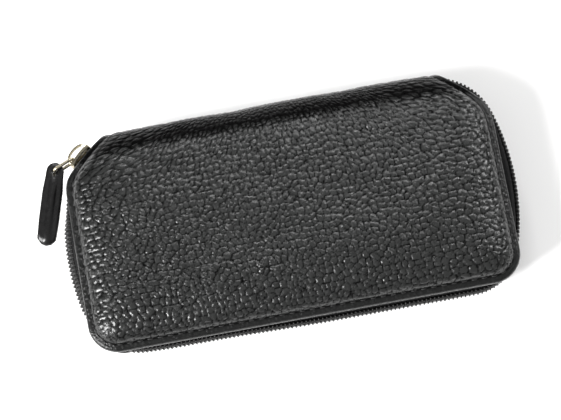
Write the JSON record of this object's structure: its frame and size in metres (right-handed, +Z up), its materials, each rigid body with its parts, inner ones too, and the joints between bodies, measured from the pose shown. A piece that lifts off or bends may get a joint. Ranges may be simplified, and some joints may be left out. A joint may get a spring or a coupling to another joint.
{
  "type": "zip-around multi glasses organizer",
  "caption": "Zip-around leather case that opens flat, with a padded divider between two bays for glasses and a leather zip pull.",
  "frame": {"origin": "centre of the flat underside of the closed case, on the surface it lies on", "axes": "+Z up through the closed case, +Y towards the spine, +X along the case to the end of the zip, away from the slider"},
  "size_m": [0.1906, 0.0903, 0.036],
  "materials": {
    "cover_leather": "black pebbled leather, semi-gloss grain",
    "pull_leather": "smooth glossy black leather with painted edge",
    "padding_foam": "grey padding foam",
    "stiff_board": "grey fibre board",
    "lining_fabric": "charcoal brushed lining",
    "divider_fabric": "charcoal brushed lining over padding",
    "binding_tape": "black ribbed binding",
    "zip_tape": "black woven tape",
    "zip_coil": "black nylon coil",
    "seam_thread": "black waxed thread",
    "slider_metal": "polished pale nickel"
  },
  "bodies": {
    "back_half": {"back_cover": "cover_leather", "back_foam": "padding_foam", "back_board": "stiff_board", "back_lining": "lining_fabric", "back_zip_tape": "zip_tape", "back_zip_coil": "zip_coil", "back_edge_stitching": "seam_thread", "spine_cover": "cover_leather", "spine_foam": "padding_foam", "spine_lining": "lining_fabric"},
    "front_half": {"front_cover": "cover_leather", "front_foam": "padding_foam", "front_board": "stiff_board", "front_lining": "lining_fabric", "front_zip_tape": "zip_tape", "front_zip_coil": "zip_coil", "front_edge_stitching": "seam_thread"},
    "divider": {"divider_core": "stiff_board", "divider_front_pad": "divider_fabric", "divider_back_pad": "divider_fabric", "divider_binding": "binding_tape"},
    "slider": {"slider_body": "slider_metal"},
    "link": {"pull_link": "slider_metal"},
    "pull": {"pull_tab_upper": "pull_leather", "pull_tab_lower": "pull_leather"}
  },
  "joints": [
    {"name": "cover_open", "type": "hinge", "parent": "back_half", "child": "front_half", "pos_m": [0, 0.0465, 0.018], "axis": [-1, 0, 0], "range_deg": [0, 178], "deforming": ["spine_cover", "spine_foam", "spine_lining"]},
    {"name": "divider_turn", "type": "hinge", "parent": "back_half", "child": "divider", "pos_m": [0, 0.0465, 0.018], "axis": [-1, 0, 0], "range_deg": [0, 89]},
    {"name": "slider_travel", "type": "hinge", "parent": "back_half", "child": "slider", "pos_m": [-0.062, 0.0192, 0.018], "axis": [0, 0, 1], "range_deg": [0, 30], "deforming": ["back_zip_coil", "front_zip_coil"]},
    {"name": "link_swing", "type": "hinge", "parent": "slider", "child": "link", "pos_m": [-0.08198, 0.03751, 0.018], "axis": [0, 0, 1], "range_deg": [-30, 0]},
    {"name": "pull_swing", "type": "hinge", "parent": "link", "child": "pull", "pos_m": [-0.0898, 0.03419, 0.018], "axis": [0, 0, 1], "range_deg": [-95, 3]}
  ],
  "couplings": [
    {"joint": "divider_turn", "follows": "cover_open", "ratio": 0.5},
    {"joint": "link_swing", "follows": "slider_travel", "ratio": -1}
  ]
}
